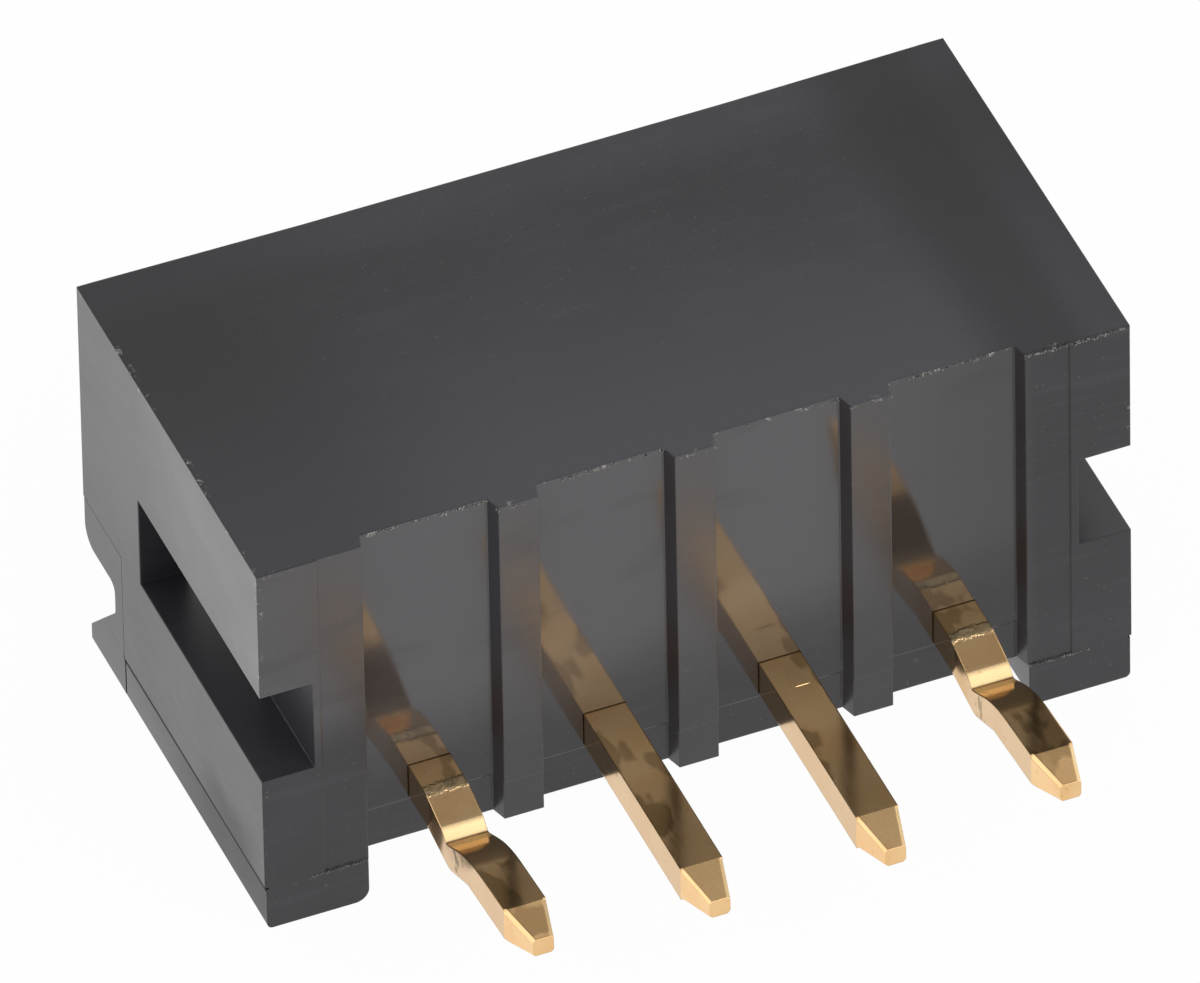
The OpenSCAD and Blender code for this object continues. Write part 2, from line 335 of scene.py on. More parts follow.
def plastic_ends(settings):
    """End faces, with a brighter skin above the slot, most of all by the board side, and painted
    shade along the foot joint, by the feet and low in the middle.
    """
    material, net = new_material("plastic_end_faces")
    tint, cloud, flow = plastic_tint(net, settings)
    low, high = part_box("housing")
    grain = noise(net, FINE_GRAIN, 2.0)
    place = axes(net)
    reach = noise(net, (0.4, 0.5, 0.6), 2.0, 0.5, (6.0, 2.0, 1.0)) - 0.5
    upper = (place["Z"] + reach).fade(*END_SKIN_HEIGHT, 0.05, 1.0)
    front = (place["Y"] + reach * 2.0).fade(*END_SKIN_DEPTH, 1.0, 0.3)
    smooth = noise(net, (0.9, 0.25, 0.7), 3.0, 0.6, (2.0, 5.0, 9.0)).fade(0.3, 0.7, 0.6, 1.0)
    rough = settings.wall_roughness + (cloud - 0.5) * 0.12 + (flow - 0.5) * 0.1
    edge = (place["Y"] - low.y / MM).fade(0.12, 0.03)
    edge = edge.larger((high.z / MM - place["Z"]).fade(0.1, 0.03))
    tint = net.mix(chipped(net, edge, 5.0), tint, settings.chip)
    normal = bump(net, grain + flow * 0.8, 0.0016, 0.7, broken_edge(net, settings.edge_break))
    skin = skin_of(
        net,
        {
            "Base Color": tint,
            "Roughness": rough,
            "Normal": normal,
            "IOR": settings.end_ior,
            "Coat Weight": upper * front * smooth * settings.end_skin,
            "Coat Roughness": 0.25,
        },
    )
    dark = skin_of(
        net,
        {
            "Base Color": net.mix(grain, settings.deep, settings.shade),
            "Roughness": settings.groove_roughness,
            "IOR": settings.groove_ior,
        },
    )
    # Painted shade: a dark, rough skin with a weak shine along the joint line above the feet, by
    # the feet and low in the middle of the end face
    joint = (place["Z"] + reach * 0.02 - settings.foot_joint).size().fade(0.08, 0.02)
    joint = joint * (place["Y"] - settings.foot_joint_end).fade(0.03, -0.03)
    foot = place["Z"].fade(*END_FOOT_SHADE_HEIGHT) * place["Y"].fade(*END_FOOT_SHADE_DEPTH) * 0.35
    low_middle_shade = (place["Z"] + reach).fade(*END_LOW_SHADE_HEIGHT) * 0.3
    low_middle_shade = low_middle_shade * (place["Y"] - reach).fade(*END_LOW_SHADE_FROM)
    low_middle_shade = low_middle_shade * (place["Y"] + reach).fade(*END_LOW_SHADE_TO)
    show(net, blend(net, joint.larger(foot).larger(low_middle_shade), skin, dark))
    return material


def plastic_board_side(name, settings, roughness, polish):
    """Board side faces: plastic paler with painted light, darker towards the right, and duller and
    darker on the right end and the lower left end, in random smears, and with painted shade low
    down and by the feet.

    polish is 0 for a satin face and 1 for a polished one. A polished face gets paler painted light
    and more waviness, and it keeps most of its shine where it is shaded or duller.
    """
    material, net = new_material(name)
    tint, cloud, flow = plastic_tint(net, settings)
    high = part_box("housing")[1]
    place = axes(net)
    grain = noise(net, FINE_GRAIN, 2.0)
    scrape = noise(net, (0.5, 1.0, 26.0), 3.0, 0.7, (1.0, 4.0, 2.0))
    smear = noise(net, (0.5, 0.5, 1.6), 3.0, 0.6, (1.0, 4.0, 2.0))
    ripple = noise(net, (0.7, 0.7, 0.5), 1.0, 0.4, (7.0, 1.0, 3.0))
    wander = (cloud - 0.5) * 0.8
    height = place["Z"] + wander
    right = place["X"].fade(*DULL_RIGHT)
    left = place["X"].fade(*DULL_LEFT) * height.fade(*DULL_LEFT_HEIGHT)
    # Painted shade, with a duller finish, low down and by the feet
    low_shade = height.fade(*DULL_SHADE_LOW_HEIGHT) * (0.6 + 0.3 * polish)
    foot = (place["Z"] + wander * 0.3).fade(*DULL_SHADE_FOOT_HEIGHT) * 0.8
    dull_and_shaded = right.larger(left).larger(low_shade).larger(foot).larger(smear.fade(0.55, 0.8) * 0.35)
    edge = (high.z / MM - place["Z"]).fade(0.09, 0.02)
    sides = (place["X"].size() - high.x / MM).size().fade(0.1, 0.02)
    chip = chipped(net, edge.larger(sides), 7.0)
    far = place["X"].fade(*DARK_FAR)
    # Painted light: the polished copy is paler than the matt one
    lit_tint = net.mix(0.6 + 0.4 * polish, tint, settings.streak)
    lit_tint = net.mix(far * 0.85, lit_tint, settings.deep)
    lit_tint = net.mix(chip, lit_tint, settings.chip)
    dark = net.mix(chip, tint, settings.chip)
    normal = broken_edge(net, settings.edge_break)
    normal = bump(net, scrape + grain * 0.5, 0.0006, 0.6, normal)
    waved = bump(net, ripple, 0.005 + 0.007 * polish, 0.6, normal)
    rough = roughness + smear.fade(0.4, 0.8) * 0.08 + (scrape - 0.5) * 0.04
    inputs = {"Base Color": lit_tint, "Roughness": rough, "Normal": waved}
    polished = skin_of(net, {**inputs, "IOR": settings.board_ior})
    sheen = settings.wall_roughness * (1.0 - polish) + (roughness + 0.04) * polish
    rough = (scrape - 0.5) * 0.06 + (flow - 0.5) * 0.06 + sheen
    inputs = {"Base Color": dark, "Roughness": rough, "Normal": normal}
    matt = skin_of(net, {**inputs, "IOR": settings.dull_ior})
    # The polished copy carries the painted light and the matt copy the painted shade
    show(net, blend(net, dull_and_shaded, polished, matt))
    return material


def plastic_panels(settings):
    """Polished floors of the pockets, which mirror the contacts in front of them."""
    return plastic_board_side("plastic_gloss_panels", settings, settings.panel_roughness, 1.0)


def plastic_ribs(settings):
    """Satin faces beside the pockets, where the contacts mirror as a warm blur."""
    return plastic_board_side("plastic_satin_ribs", settings, settings.rib_roughness, 0.0)


def plastic_walls(settings):
    """Plain dark walls inside the slots and behind the mouth."""
    material, net = new_material("plastic_plain_walls")
    tint, cloud, flow = plastic_tint(net, settings)
    grain = noise(net, FINE_GRAIN, 2.0)
    tint = net.mix(0.6, tint, settings.streak)
    rough = settings.wall_roughness + (cloud - 0.5) * 0.12 + (flow - 0.5) * 0.1
    normal = bump(net, grain + flow * 0.8, 0.0016, 0.7, broken_edge(net, settings.edge_break))
    inputs = {"Base Color": tint, "Roughness": rough, "Normal": normal, "IOR": settings.end_ior}
    show(net, skin_of(net, inputs))
    return material


def plastic_crumbs(settings):
    """Pale torn plastic of the flash."""
    material, net = new_material("plastic_flash_crumbs")
    grain = noise(net, (9.0, 9.0, 9.0), 2.0)
    tint = net.mix(grain.fade(0.35, 0.65), settings.chip, settings.speck)
    inputs = {"Base Color": tint, "Roughness": 0.35 + grain * 0.3, "IOR": settings.end_ior}
    show(net, skin_of(net, inputs))
    return material


def plastic_groove_shade(settings):
    """Rough plastic with a weak shine inside the fine joint grooves, darkened with painted shade.
    """
    material, net = new_material("plastic_shaded_grooves")
    grain = noise(net, (20.0, 20.0, 20.0), 2.0)
    # Painted shade: the plastic in the grooves is darker than the rest
    tint = net.mix(grain, settings.deep, settings.shade)
    rough = settings.groove_roughness + (grain - 0.5) * 0.1
    inputs = {"Base Color": tint, "Roughness": rough, "IOR": settings.groove_ior}
    show(net, skin_of(net, inputs))
    return material


def tool_marks(net, settings, outward, facing, tint, rough, normal):
    """Gives a bent tail a frosted band, a dished face, a crease with a painted glint and scraped
    sides.
    """
    rise = facing["Z"]
    start, end, soft = settings.mark_from, settings.mark_to, 0.04
    ragged = noise(net, (7.0, 7.0, 7.0), 3.0, 0.7, (1.0, 5.0, 3.0))
    torn = outward + (ragged - 0.5) * 0.2
    mark = torn.within(start - soft, start + soft, end - soft, end + soft)
    mark = mark * rise.fade(0.75, 0.9) * ragged.fade(0.2, 0.6, 0.4, 1.0)
    tint = net.mix(mark * 0.5, tint, settings.scuff_and_highlight)
    normal = bump(net, ragged * mark, 0.03, 0.8, normal)
    normal = bump(net, outward.fade(*DISH), settings.dishing, 1.0, normal)
    # Painted highlight on the crease, which is rougher as well
    crease = outward.within(*CREASE) * rise.within(0.3, 0.5, 0.9, 0.97)
    tint = net.mix(crease * 0.5, tint, settings.scuff_and_highlight)
    scrape = outward.within(*SCRAPE) * facing["X"].size().fade(0.7, 0.9)
    scrape = scrape * noise(net, (1.0, 5.0, 2.0), 3.0, 0.7).fade(0.55, 0.62)
    tint = net.mix(scrape * 0.85, tint, settings.tarnish_and_shade)
    return tint, rough + mark * 0.2 + crease * 0.4 + scrape * 0.15, normal


def scratched(net, settings, outward, normal):
    """Normal of a straight tail with a fine line across it, steep outwards and gentle behind."""
    past = outward - settings.scratch_at
    step = past.within(-0.45, -0.02, -0.014, 0.004)
    across = (axes(net)["X"] - settings.scratch_x).size().fade(0.21, 0.03)
    return bump(net, step * across, 0.013, 1.0, normal)


def gold_plating(name, settings, bent):
    """Bright plating over a drawn wire, darker on its upper face towards the tip.

    Its sides and ends are a little darker with painted shade, and its corners a little paler with
    a painted highlight and duller.
    """
    material, net = new_material(name)
    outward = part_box("housing")[0].y / MM - axes(net)["Y"]
    facing = parts(net, net.add("ShaderNodeNewGeometry").out("Normal"))
    rise = facing["Z"]
    level = rise.fade(0.985, 0.995)
    sides = facing["X"].size().fade(0.98, 0.995)
    ends = facing["Y"].size().fade(0.97, 0.99)
    corner = facing["X"].fade(0.45, 0.6) * rise.fade(0.4, 0.55)
    slant = outward.fade(*SLANT) * rise.within(0.7, 0.8, 0.98, 0.99)
    draw = noise(net, (26.0, 0.5, 26.0), 3.0, 0.6)
    cloud = noise(net, (1.6, 1.6, 1.6), 3.0, 0.5, (2.0, 6.0, 1.0))
    pit = noise(net, (14.0, 14.0, 14.0), 2.0, 0.5, (4.0, 1.0, 6.0)).fade(0.66, 0.74)
    blot = noise(net, (2.2, 1.1, 2.2), 2.0, 0.5, (3.0, 7.0, 2.0)).fade(0.54, 0.6) * 0.6
    wave = noise(net, (1.1, 0.7, 1.1), 1.0, 0.4, (8.0, 3.0, 2.0))
    darkening = outward.fade(*TIP_DARKENING, 0.0, settings.bent_darkening if bent else settings.straight_darkening)
    tint = net.mix(cloud.fade(0.35, 0.7), settings.gold, settings.gold_deep)
    tint = net.mix(pit * 0.35, tint, settings.tarnish_and_shade)
    # Upper faces darker towards the tip, with blots
    tint = net.mix(level * (darkening + blot), tint, settings.tarnish_and_shade)
    # Painted highlight: the corner facets are paler, and rougher as well
    tint = net.mix(corner * 0.6, tint, settings.scuff_and_highlight)
    # Painted shade: the sides and ends of the contact are darker
    tint = net.mix(sides * 0.38, tint, settings.tarnish_and_shade)
    tint = net.mix(ends * 0.2, tint, settings.tarnish_and_shade)
    rough = settings.gold_roughness + (draw - 0.5) * 0.08 + pit * 0.1 + corner * 0.4 + slant * 0.14
    normal = bump(net, draw * 0.1 + wave, 0.006, 0.5, broken_edge(net, settings.edge_break))
    if bent:
        tint, rough, normal = tool_marks(net, settings, outward, facing, tint, rough, normal)
    else:
        normal = scratched(net, settings, outward, normal)
    inputs = {"Base Color": tint, "Metallic": 1.0, "Roughness": rough, "Normal": normal}
    show(net, skin_of(net, inputs))
    return material


# ---------------------------------------------------------------- meshes


def merged_copy(node, name):
    """A joined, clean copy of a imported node's loose triangles."""
    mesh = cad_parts[node].data.copy()
    mesh.name = name
    mesh.materials.clear()
    work = bmesh.new()
    work.from_mesh(mesh)
    bmesh.ops.remove_doubles(work, verts=work.verts, dist=WELD_MM * MM)
    bmesh.ops.dissolve_limit(
        work, angle_limit=math.radians(MERGE_DEG), verts=work.verts, edges=work.edges
    )
    wide = [face for face in work.faces if len(face.verts) > 4]
    bmesh.ops.triangulate(work, faces=wide, quad_method="BEAUTY", ngon_method="BEAUTY")
    work.to_mesh(mesh)
    work.free()
    piece = bpy.data.objects.new(name, mesh)
    bpy.context.scene.collection.objects.link(piece)
    return piece


def shaded_flat(piece, angle_deg):
    """Flat faces with hard edges, and smooth shading round the curves."""
    for polygon in piece.data.polygons:
        polygon.use_smooth = True
    work = bmesh.new()
    work.from_mesh(piece.data)
    for edge in work.edges:
        edge.smooth = edge.calc_face_angle() < math.radians(angle_deg)
    work.to_mesh(piece.data)
    work.free()


def creased(piece, reach_mm, angle_deg):
    """Makes the edges sharper than angle_deg hard, within reach_mm of either end of a contact."""
    ends = [vertex.co.y for vertex in piece.data.vertices]
    low, high = min(ends) + reach_mm * MM, max(ends) - reach_mm * MM
    work = bmesh.new()
    work.from_mesh(piece.data)
    for edge in work.edges:
        middle = (edge.verts[0].co.y + edge.verts[1].co.y) / 2
        near = middle < low or middle > high
        if near and edge.calc_face_angle() > math.radians(angle_deg):
            edge.smooth = False
    work.to_mesh(piece.data)
    work.free()


def weighted(piece):
    """Keeps the large faces flat where they run smoothly into a bend."""
    flat = piece.modifiers.new("flat_faces", "WEIGHTED_NORMAL")
    flat.mode = "FACE_AREA"
    flat.weight = 100
    flat.keep_sharp = True


def flash_tree():
    """Geometry nodes that string torn crumbs along the edges of a mesh, in uneven runs."""
    tree = bpy.data.node_groups.new("flash", "GeometryNodeTree")
    net = Net(tree)
    for label, kind in (
        ("Path", "NodeSocketGeometry"),
        ("Spacing", "NodeSocketFloat"),
        ("Size", "NodeSocketFloat"),
        ("Run length", "NodeSocketFloat"),
        ("Bareness", "NodeSocketFloat"),
        ("Seed", "NodeSocketInt"),
        ("Material", "NodeSocketMaterial"),
    ):
        tree.interface.new_socket(label, in_out="INPUT", socket_type=kind)
    tree.interface.new_socket("Flash", in_out="OUTPUT", socket_type="NodeSocketGeometry")
    given = net.add("NodeGroupInput")
    seed = given.out("Seed")
    curve = net.add("GeometryNodeMeshToCurve", {}, {"Mesh": given.out("Path")})
    points = net.add(
        "GeometryNodeCurveToPoints",
        {"mode": "LENGTH"},
        {"Curve": curve, "Length": given.out("Spacing")},
    )
    place = net.add("GeometryNodeInputPosition")
    patch = net.add(
        "ShaderNodeTexNoise",
        {"noise_dimensions": "3D"},
        {"Vector": place, "Scale": 1.0 / given.out("Run length"), "Detail": 2.0},
    )
    bare = net.add(
        "FunctionNodeCompare", {"operation": "LESS_THAN"}, {0: patch, 1: given.out("Bareness")}
    )
    points = net.add("GeometryNodeDeleteGeometry", {}, {"Geometry": points, "Selection": bare})
    unit = (1.0, 1.0, 1.0)
    shift = net.add(
        "FunctionNodeRandomValue",
        {"data_type": "FLOAT_VECTOR"},
        {0: tuple(-v for v in unit), 1: unit, "Seed": seed},
    )
    shift = net.add(
        "ShaderNodeVectorMath",
        {"operation": "SCALE"},
        {0: shift, "Scale": given.out("Size") * 0.5},
    )
    points = net.add("GeometryNodeSetPosition", {}, {"Geometry": points, "Offset": shift})
    turn = net.add(
        "FunctionNodeRandomValue",
        {"data_type": "FLOAT_VECTOR"},
        {1: (CRUMB_TURN, CRUMB_TURN, CRUMB_TURN), "Seed": seed + 1.0},
    )
    stretch = net.add(
        "FunctionNodeRandomValue",
        {"data_type": "FLOAT_VECTOR"},
        {0: (0.2, 0.2, 0.2), 1: unit, "Seed": seed + 2.0},
    )
    stretch = net.add(
        "ShaderNodeVectorMath", {"operation": "SCALE"}, {0: stretch, "Scale": given.out("Size")}
    )
    crumb = net.add("GeometryNodeMeshIcoSphere", {}, {"Radius": 0.5, "Subdivisions": 1})
    crumbs = net.add(
        "GeometryNodeInstanceOnPoints",
        {},
        {"Points": points, "Instance": crumb, "Rotation": turn, "Scale": stretch},
    )
    crumbs = net.add("GeometryNodeRealizeInstances", {}, {"Geometry": crumbs})
    crumbs = net.add(
        "GeometryNodeSetMaterial", {}, {"Geometry": crumbs, "Material": given.out("Material")}
    )
    net.add("NodeGroupOutput", {}, {"Flash": crumbs})
    return tree


def flash_mesh(name, tree, lines, values):
    """Plain mesh of a tree's crumbs along lines, each given by its two ends in metres."""
    path = bpy.data.meshes.new(name)
    ends = [end for line in lines for end in line]
    path.from_pydata(ends, [(i, i + 1) for i in range(0, len(ends), 2)], [])
    carrier = bpy.data.objects.new(name, path)
    bpy.context.scene.collection.objects.link(carrier)
    strung = carrier.modifiers.new("flash", "NODES")
    strung.node_group = tree
    for item in tree.interface.items_tree:
        if item.in_out == "INPUT" and item.name in values:
            strung[item.identifier] = values[item.name]
    carrier.update_tag()
    graph = bpy.context.evaluated_depsgraph_get()
    mesh = bpy.data.meshes.new_from_object(carrier.evaluated_get(graph))
    carrier.modifiers.clear()
    bpy.data.objects.remove(carrier)
    return mesh


def joined(piece, extra, slot):
    """Adds the faces of a plain mesh to a piece, all with the material in one slot."""
    for polygon in extra.polygons:
        polygon.material_index = slot
    work = bmesh.new()
    work.from_mesh(piece.data)
    work.from_mesh(extra)
    work.to_mesh(piece.data)
    work.free()


def settle(piece, node_names):
    """Hands a finished piece over to the frame."""
    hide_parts(*node_names)
    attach(piece, BODY)


# ---------------------------------------------------------------- settings


class StageSettings(bpy.types.PropertyGroup):
    azimuth: FloatProperty(
        name="Azimuth",
        description="Direction of the camera round the part",
        default=math.radians(-21.936),
        subtype="ANGLE",
    )
    elevation: FloatProperty(
        name="Elevation",
        description="Height of the camera above the horizon",
        default=math.radians(41.971),
        subtype="ANGLE",
    )
    roll: FloatProperty(
        name="Roll",
        description="Turn of the camera about its own line of sight",
        default=math.radians(-1.114),
        subtype="ANGLE",
    )
    distance: FloatProperty(
        name="Distance",
        description="Distance from the camera to the point it looks at",
        default=0.450025,
        unit="LENGTH",
    )
    lens: FloatProperty(
        name="Lens",
        description="Focal length for a sensor 36 mm wide, in millimetres",
        default=1023.58,
        max=5000.0,
    )
    target: FloatVectorProperty(
        name="Target",
        description="Point that the camera looks at, in millimetres",
        size=3,
        default=(-0.29459, 1.32682, 3.46734),
    )
    floor_colour: FloatVectorProperty(
        name="Floor colour",
        description="Colour of the floor",
        subtype="COLOR",
        size=3,
        default=(0.95, 0.95, 0.95),
    )
    paper: FloatProperty(
        name="Paper",
        description="Share of real paper in the glowing floor, which lets a shadow show",
        default=0.03,
    )
    sky: FloatProperty(
        name="Sky",
        description="Strength of the soft light from all round",
        default=0.8,
    )
    roof: FloatProperty(
        name="Roof",
        description="Strength of the light from straight above",
        default=0.31,
    )
    roof_from: FloatProperty(
        name="Roof from",
        description="Height at which the light starts to fall off, as the sine of its angle",
        default=0.7,
    )
    roof_to: FloatProperty(
        name="Roof to",
        description="Height at which the light is at its dimmest, as the sine of its angle",
        default=0.92,
    )


class HousingSettings(bpy.types.PropertyGroup):
    tone: FloatVectorProperty(
        name="Tone",
        description="Main colour of the plastic",
        subtype="COLOR",
        size=3,
        default=(0.022, 0.0205, 0.025),
    )
    shade: FloatVectorProperty(
        name="Shade",
        description="Darker colour of the plastic",
        subtype="COLOR",
        size=3,
        default=(0.016, 0.015, 0.0185),
    )
    # Deep is also the colour that several masks use for painted shade on the top, the board side,
    # the end faces and the grooves.
    deep: FloatVectorProperty(
        name="Deep",
        description="Colour of the plastic where it is darkest",
        subtype="COLOR",
        size=3,
        default=(0.004, 0.0035, 0.0055),
    )
    streak: FloatVectorProperty(
        name="Streak",
        description="Colour of the flow streaks",
        subtype="COLOR",
        size=3,
        default=(0.045, 0.042, 0.048),
    )
    # Pale is the colour of the top's painted light at the front middle and by the mouth.
    pale: FloatVectorProperty(
        name="Pale",
        description="Colour of the top where it is palest",
        subtype="COLOR",
        size=3,
        default=(0.052, 0.048, 0.058),
    )
    speck: FloatVectorProperty(
        name="Speck",
        description="Colour of the pale specks",
        subtype="COLOR",
        size=3,
        default=(0.12, 0.12, 0.12),
    )
    chip: FloatVectorProperty(
        name="Chip",
        description="Colour of the torn plastic at the edges",
        subtype="COLOR",
        size=3,
        default=(0.3, 0.29, 0.28),
    )
    top_ior: FloatProperty(
        name="Top IOR",
        description="Index of refraction of the brushed top",
        default=1.46,
    )
    end_ior: FloatProperty(
        name="End IOR",
        description="Index of refraction of the end faces and plain walls",
        default=1.5,
    )
    board_ior: FloatProperty(
        name="Board side IOR",
        description="Index of refraction of the polished board side",
        default=1.72,
    )
    dull_ior: FloatProperty(
        name="Dull IOR",
        description="Index of refraction where the board side is dull",
        default=1.5,
    )
    groove_ior: FloatProperty(
        name="Groove IOR",
        description="Index of refraction inside the joint grooves",
        default=1.2,
    )
    end_skin: FloatProperty(
        name="End skin",
        description="Strength of the bright skin on the end faces",
        default=0.62,
    )
    top_roughness: FloatProperty(
        name="Top roughness",
        description="Roughness of the brushed top",
        default=0.34,
    )
    wall_roughness: FloatProperty(
        name="Wall roughness",
        description="Roughness of the end faces and plain walls",
        default=0.3,
    )
    panel_roughness: FloatProperty(
        name="Panel roughness",
        description="Roughness of the pocket floors",
        default=0.06,
    )
    rib_roughness: FloatProperty(
        name="Rib roughness",
        description="Roughness of the faces beside the pockets",
        default=0.25,
    )
    # The joint line is dark with painted shade of the step there.
    foot_joint: FloatProperty(
        name="Foot joint",
        description="Height of the dark joint line above the feet, in millimetres",
        default=0.69,
    )
    foot_joint_end: FloatProperty(
        name="Foot joint end",
        description="Place of the joint line's end by the mouth, in millimetres",
        default=3.69,
    )
    groove_roughness: FloatProperty(
        name="Groove roughness",
        description="Roughness inside the joint grooves",
        default=0.7,
    )
    edge_break: FloatProperty(
        name="Edge break",
        description="Rounding of the sharp edges, in millimetres",
        default=0.03,
    )
    pocket_width: FloatProperty(
        name="Pocket width",
        description="Width of the pocket round each contact, in millimetres",
        default=1.9,
    )
    pocket_depth: FloatProperty(
        name="Pocket depth",
        description="Depth of the pocket round each contact, in millimetres",
        default=0.23,
    )
    flash_size: FloatProperty(
        name="Flash size",
        description="Size of the largest crumbs of flash, in millimetres",
        default=0.045,
    )
    flash_run: FloatProperty(
        name="Flash run",
        description="Size of the bare and the torn stretches of an edge, in millimetres",
        default=0.35,
    )
    flash_bareness: FloatProperty(
        name="Flash bareness",
        description="Level of the noise below which an edge carries no flash",
        default=0.5,
    )


class ContactSettings(bpy.types.PropertyGroup):
    gold: FloatVectorProperty(
        name="Gold",
        description="Main colour of the plating",
        subtype="COLOR",
        size=3,
        default=(0.95, 0.635, 0.32),
    )
    gold_deep: FloatVectorProperty(
        name="Deep gold",
        description="Deeper colour of the plating",
        subtype="COLOR",
        size=3,
        default=(0.9, 0.56, 0.26),
    )
    # This colour also paints shade on the contacts' sides and ends.
    tarnish_and_shade: FloatVectorProperty(
        name="Tarnish",
        description="Colour of pits, stains and the darker sides",
        subtype="COLOR",
        size=3,
        default=(0.35, 0.22, 0.09),
    )
    # This colour also paints highlights on the contacts' corners and crease.
    scuff_and_highlight: FloatVectorProperty(
        name="Frost",
        description="Colour of corners and where a tool has scuffed",
        subtype="COLOR",
        size=3,
        default=(0.98, 0.83, 0.5),
    )
    gold_roughness: FloatProperty(
        name="Plating roughness",
        description="Roughness of the plating",
        default=0.14,
    )
    straight_darkening: FloatProperty(
        name="Straight stain",
        description="Strength of the stain at the tip of a straight tail",
        default=0.34,
    )
    bent_darkening: FloatProperty(
        name="Bent stain",
        description="Strength of the stain at the tip of a bent tail",
        default=0.2,
    )
    mark_from: FloatProperty(
        name="Mark from",
        description="Start of the tool mark on a bent tail, from the board seat in millimetres",
        default=0.24,
    )
    mark_to: FloatProperty(
        name="Mark to",
        description="End of the tool mark on a bent tail, from the board seat in millimetres",
        default=0.42,
    )
    dishing: FloatProperty(
        name="Dishing",
        description="Fall of the upper face where the tool has pressed it, in millimetres",
        default=0.063,
    )
    scratch_at: FloatProperty(
        name="Scratch at",
        description="Place of the scratch on a straight tail, from the board seat in millimetres",
        default=0.4,
    )
    scratch_x: FloatProperty(
        name="Scratch X",
        description="Place of the scratch along the row, in millimetres",
        default=1.315,
    )
    edge_break: FloatProperty(
        name="Edge break",
        description="Rounding of the contact's edges, in millimetres",
        default=0.03,
    )
    facet_reach: FloatProperty(
        name="Facet reach",
        description="Length at each end of a contact that keeps its facets, in millimetres",
        default=0.66,
    )


# ---------------------------------------------------------------- operators


class CONNECTOR_OT_stage(bpy.types.Operator):
    """Makes the floor, the light and the camera"""

    bl_idname = "connector.stage"
    bl_label = "Stage"

    def execute(self, context):
        settings = context.scene.connector_stage
        self.camera(context, settings)
        self.world(context, settings)
        self.floor(context, settings)
        self.lamps(context)
        context.scene.view_settings.view_transform = "Standard"
        return {"FINISHED"}

    def camera(self, context, s):
        back = Vector(
            (
                math.sin(s.azimuth) * math.cos(s.elevation),
                -math.cos(s.azimuth) * math.cos(s.elevation),
                math.sin(s.elevation),
            )
        )
        level = Vector((math.cos(s.azimuth), math.sin(s.azimuth), 0.0))
        rise = back.cross(level)
        right = level * math.cos(s.roll) + rise * math.sin(s.roll)
        up = rise * math.cos(s.roll) - level * math.sin(s.roll)
        data = bpy.data.cameras.new("camera")
        data.sensor_width = SENSOR_MM
        data.lens = s.lens
        data.clip_start = 0.01
        data.clip_end = 20.0
        camera = bpy.data.objects.new("camera", data)
        context.scene.collection.objects.link(camera)
        place = Vector(s.target) * MM + back * s.distance
        turn = Matrix((right, up, back)).transposed()
        camera.matrix_world = Matrix.Translation(place) @ turn.to_4x4()
        context.scene.camera = camera

    def world(self, context, s):
        """White for the camera. For all else dimmer straight above, and weaker on matt faces."""
        world = bpy.data.worlds.new("soft_tent")
        context.scene.world = world
        world.use_nodes = True
        world.cycles.sampling_method = "NONE"
        net = Net(world.node_tree)
        rise = parts(net, net.add("ShaderNodeTexCoord").out("Generated"))["Z"]
        tent = rise.fade(s.roof_from, s.roof_to, 1.0, s.roof)
        path = net.add("ShaderNodeLightPath")
        seen = path.out("Is Camera Ray")
        mirrored = path.out("Is Glossy Ray").larger(path.out("Is Transmission Ray"))
        light = tent * (mirrored * (1.0 - s.sky) + s.sky)
        strength = seen + (1.0 - seen) * light
        background = net.add("ShaderNodeBackground", {}, {"Color": WHITE, "Strength": strength})
        net.add("ShaderNodeOutputWorld", {}, {"Surface": background})

    def floor(self, context, s):
        mesh = bpy.data.meshes.new("floor")
        square = ((-1, -1), (1, -1), (1, 1), (-1, 1))
        corners = [(x * FLOOR_REACH, y * FLOOR_REACH, 0) for x, y in square]
        mesh.from_pydata(corners, [], [(0, 1, 2, 3)])
        floor = bpy.data.objects.new("floor", mesh)
        context.scene.collection.objects.link(floor)
        material, net = new_material("white_sheet")
        material.cycles.emission_sampling = "NONE"
        colour = (*s.floor_colour, 1.0)
        paper = net.add("ShaderNodeBsdfDiffuse", {}, {"Color": colour})
        glow = net.add("ShaderNodeEmission", {}, {"Color": WHITE, "Strength": 1.0})
        lit = blend(net, s.paper, glow, paper)
        path = net.add("ShaderNodeLightPath")
        seen = path.out("Is Camera Ray").larger(path.out("Is Glossy Ray"))
        seen = seen.larger(path.out("Is Transmission Ray"))
        show(net, blend(net, seen, paper, lit))
        mesh.materials.append(material)

    def lamps(self, context):
        for name, place, size, power in LAMPS:
            data = bpy.data.lights.new(name, "AREA")
            data.shape = "SQUARE"
            data.size = size
            data.energy = power
            lamp = bpy.data.objects.new(name, data)
            context.scene.collection.objects.link(lamp)
            lamp.location = place
            aim = Vector(LAMP_AIM) - Vector(place)
            lamp.rotation_euler = aim.to_track_quat("-Z", "Y").to_euler()


def top_edge_steps(settings, low, high):
    """The stretches of the board side's top edge, each as its two ends in X and its depth."""
    half = settings.pocket_width * MM / 2
    pockets = sorted(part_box(node)[0].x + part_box(node)[1].x for node in CONTACTS)
    steps = []
    last = low.x
    for doubled in pockets:
        middle = doubled / 2
        steps.append((last, middle - half, 0.0))
        steps.append((middle - half, middle + half, settings.pocket_depth * MM))
        last = middle + half
    steps.append((last, high.x, 0.0))
    return steps


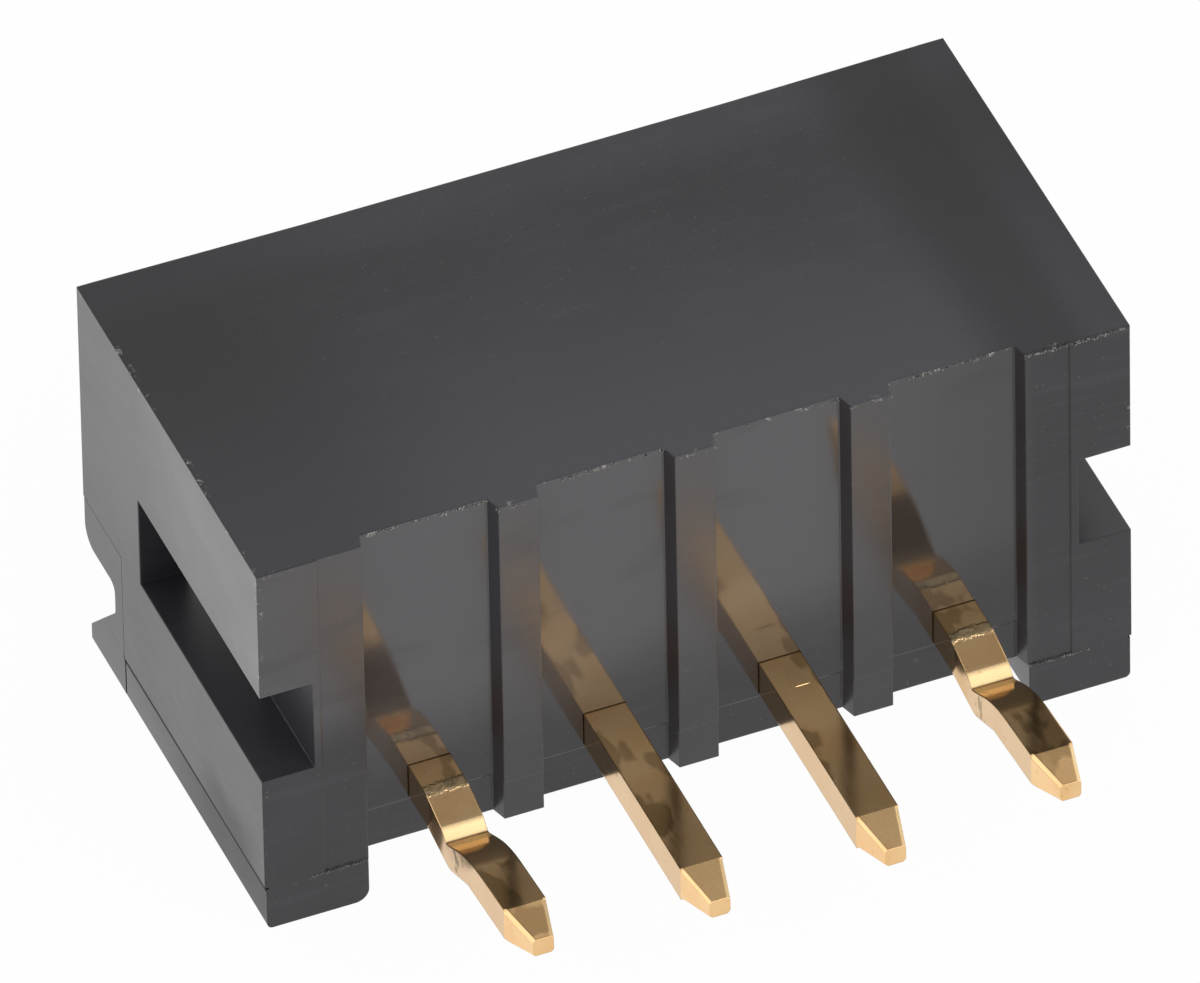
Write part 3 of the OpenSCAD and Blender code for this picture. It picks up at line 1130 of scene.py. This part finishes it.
class CONNECTOR_OT_housing(bpy.types.Operator):
    """Finishes the moulded housing"""

    bl_idname = "connector.housing"
    bl_label = "Housing"

    def execute(self, context):
        settings = context.scene.connector_housing
        piece = merged_copy("housing", "housing_moulding")
        low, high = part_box("housing")
        finishes = (
            plastic_walls,
            plastic_top,
            plastic_ends,
            plastic_panels,
            plastic_ribs,
            plastic_groove_shade,
        )
        for finish in finishes:
            piece.data.materials.append(finish(settings))
        for face in piece.data.polygons:
            finish = self.finish(face.center, face.normal, low, high)
            face.material_index = finishes.index(finish)
        shaded_flat(piece, HARD_EDGE_DEG)
        self.flash(piece, settings, low, high)
        settle(piece, ["housing"])
        return {"FINISHED"}

    def flash(self, piece, settings, low, high):
        """Crumbs along the board side's top edge and, finer and closer, where the feet begin."""
        torn = plastic_crumbs(settings)
        piece.data.materials.append(torn)
        slot = len(piece.data.materials) - 1
        size = settings.flash_size * MM
        values = {
            "Spacing": TOP_SPACING * size,
            "Size": size,
            "Run length": settings.flash_run * MM,
            "Bareness": settings.flash_bareness,
            "Seed": FLASH_SEED,
            "Material": torn,
        }
        tree = flash_tree()
        top = high.z - TOP_SINK * size
        lines = []
        for start, end, depth in top_edge_steps(settings, low, high):
            lines.append(((start, low.y + depth, top), (end, low.y + depth, top)))
        crumbs = flash_mesh("top_flash", tree, lines, values)
        for vertex in crumbs.vertices:
            vertex.co.z = min(vertex.co.z, high.z - TOP_GAP_MM * MM)
        joined(piece, crumbs, slot)
        values["Spacing"] = FOOT_SPACING * size
        values["Size"] = FOOT_CRUMB * size
        values["Bareness"] = settings.flash_bareness + FOOT_BARENESS
        foot = (settings.foot_joint + FOOT_RISE_MM) * MM
        lines = [
            [(side * reach * MM, low.y, foot) for reach in FOOT_STRIP_MM] for side in (-1.0, 1.0)
        ]
        joined(piece, flash_mesh("foot_flash", tree, lines, values), slot)

    @staticmethod
    def finish(centre, normal, low, high):
        """The finish of a face, going by its direction and place."""
        skin = SKIN_MM * MM
        groove = GROOVE_MM * MM
        sideways = abs(normal.x) > SQUARE_ON
        if normal.z > SQUARE_ON and centre.z > high.z - skin:
            return plastic_top
        if sideways and abs(centre.x) > high.x - skin:
            return plastic_ends
        if abs(centre.x) > high.x - groove and low.z + groove < centre.z < high.z - groove:
            if sideways or low.y + groove < centre.y < high.y - groove:
                return plastic_groove_shade
        if normal.y < -SQUARE_ON and centre.y < low.y + BOARD_SIDE_MM * MM:
            in_pocket = centre.y > low.y + POCKET_FLOOR_MM * MM
            return plastic_panels if in_pocket else plastic_ribs
        return plastic_walls


class CONNECTOR_OT_contacts(bpy.types.Operator):
    """Finishes the four plated contacts"""

    bl_idname = "connector.contacts"
    bl_label = "Contacts"

    def execute(self, context):
        settings = context.scene.connector_contacts
        bent = gold_plating("gold_plating_bent", settings, True)
        straight = gold_plating("gold_plating_straight", settings, False)
        for node in CONTACTS:
            piece = merged_copy(node, node + "_plated")
            piece.data.materials.append(bent if node in BENT else straight)
            shaded_flat(piece, HARD_EDGE_DEG)
            creased(piece, settings.facet_reach, FACET_EDGE_DEG)
            weighted(piece)
            settle(piece, [node])
        return {"FINISHED"}


class CONNECTOR_PT_panel(bpy.types.Panel):
    bl_idname = "CONNECTOR_PT_panel"
    bl_label = "Connector"
    bl_space_type = "VIEW_3D"
    bl_region_type = "UI"
    bl_category = "Connector"

    def draw(self, context):
        for operator in OPERATORS:
            self.layout.operator(operator.bl_idname)


OPERATORS = (CONNECTOR_OT_stage, CONNECTOR_OT_housing, CONNECTOR_OT_contacts)
SETTINGS = (
    ("connector_stage", StageSettings),
    ("connector_housing", HousingSettings),
    ("connector_contacts", ContactSettings),
)


def register():
    for name, group in SETTINGS:
        bpy.utils.register_class(group)
        setattr(bpy.types.Scene, name, PointerProperty(type=group))
    for operator in OPERATORS:
        bpy.utils.register_class(operator)
    bpy.utils.register_class(CONNECTOR_PT_panel)


def unregister():
    bpy.utils.unregister_class(CONNECTOR_PT_panel)
    for operator in reversed(OPERATORS):
        bpy.utils.unregister_class(operator)
    for name, group in reversed(SETTINGS):
        delattr(bpy.types.Scene, name)
        bpy.utils.unregister_class(group)


def main():
    register()
    bpy.ops.connector.stage()
    bpy.ops.connector.housing()
    bpy.ops.connector.contacts()


if __name__ == "__main__":
    main()
